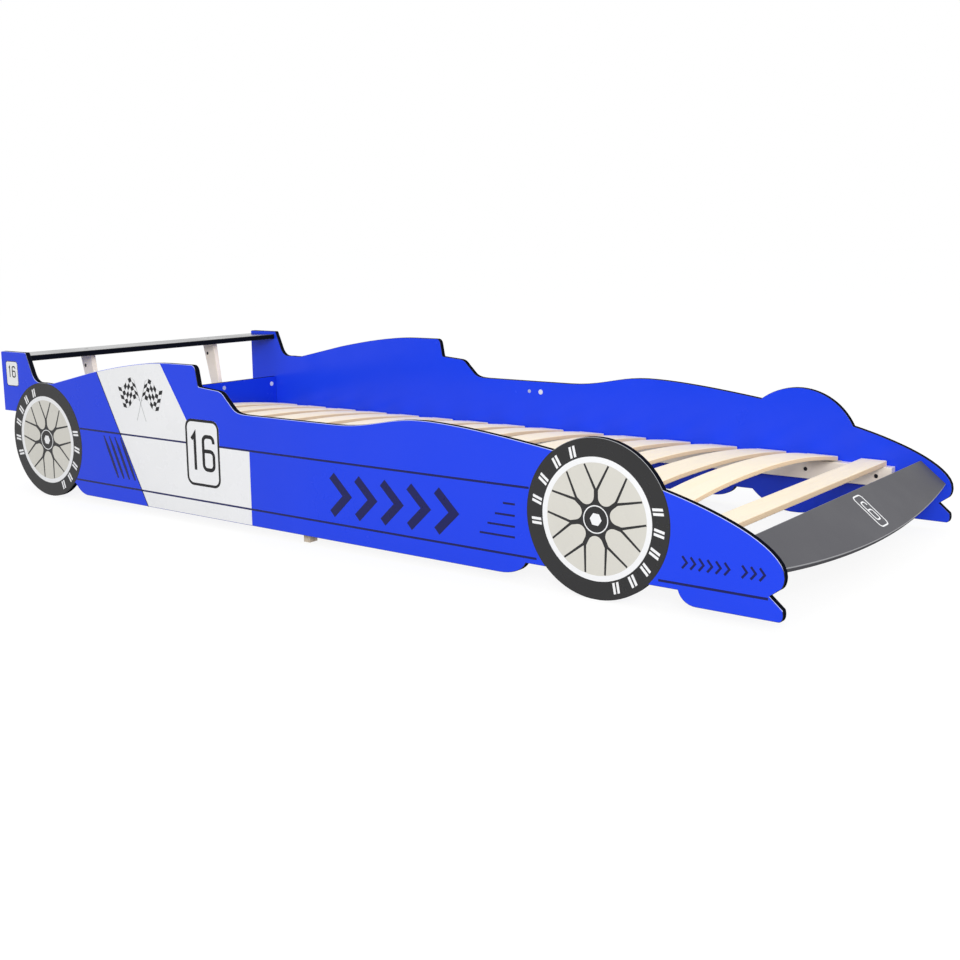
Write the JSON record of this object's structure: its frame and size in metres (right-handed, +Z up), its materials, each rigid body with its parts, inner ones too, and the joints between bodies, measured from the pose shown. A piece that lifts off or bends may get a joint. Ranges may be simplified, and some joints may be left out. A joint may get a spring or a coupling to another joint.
{
  "type": "car bed for children",
  "caption": "Child's bed shaped like an open-wheel racing car, with cut-out side panels, rear wing, sloping nose board and slatted base for a single mattress.",
  "frame": {"origin": "centre of the bounding box on the floor, under the middle of the bed", "axes": "+X towards the nose of the car, +Y towards its left side, +Z up"},
  "size_m": [2.2654, 0.9408, 0.38],
  "materials": {
    "blue_board": "semi-gloss blue lacquer on board, with black edges",
    "black_board": "gloss black lacquer on board",
    "grey_board": "satin dark grey lacquer on board",
    "white_board": "satin white lacquer on board",
    "white_rail": "satin white paint on solid wood",
    "leg_wood": "plain planed wood",
    "slat_wood": "smooth bent beech and birch layers, clear",
    "dowel_wood": "plain fluted beech",
    "webbing": "woven flat webbing",
    "dark_foil": "dark grey printed foil",
    "rim_foil": "light warm grey printed foil",
    "white_foil": "white printed foil",
    "zinc_steel": "bright zinc-plated steel",
    "cam_metal": "die-cast zinc alloy",
    "white_cap": "white moulded caps"
  },
  "bodies": {
    "root": {"right_panel_rear": "blue_board", "right_panel_front": "blue_board", "left_panel_rear": "blue_board", "left_panel_front": "blue_board", "headboard": "blue_board", "rear_wing": "black_board", "nose_board": "grey_board", "right_wing_support": "white_board", "left_wing_support": "white_board", "right_rail": "white_rail", "left_rail": "white_rail", "right_middle_leg": "leg_wood", "left_middle_leg": "leg_wood", "slat_01": "slat_wood", "slat_02": "slat_wood", "slat_03": "slat_wood", "slat_04": "slat_wood", "slat_05": "slat_wood", "slat_06": "slat_wood", "slat_07": "slat_wood", "slat_08": "slat_wood", "slat_09": "slat_wood", "slat_10": "slat_wood", "slat_11": "slat_wood", "slat_12": "slat_wood", "slat_13": "slat_wood", "slat_14": "slat_wood", "slat_15": "slat_wood", "front_slat": "slat_wood", "leg_dowels": "dowel_wood", "front_slat_dowels": "dowel_wood", "panel_dowels": "dowel_wood", "board_dowels": "dowel_wood", "right_slat_strap": "webbing", "left_slat_strap": "webbing", "tyre_foils": "dark_foil", "spoke_foils": "dark_foil", "rim_foils": "rim_foil", "stripe_foils": "white_foil", "number_foils": "white_foil", "rail_bolts": "zinc_steel", "rail_insert_nuts": "zinc_steel", "cam_bolts": "zinc_steel", "joint_barrel_nuts": "zinc_steel", "wing_bolts": "zinc_steel", "wing_barrel_nuts": "zinc_steel", "support_screws": "zinc_steel", "cam_locks": "cam_metal", "cam_caps": "white_cap", "joint_caps": "white_cap", "support_screw_caps": "white_cap"}
  },
  "joints": []
}
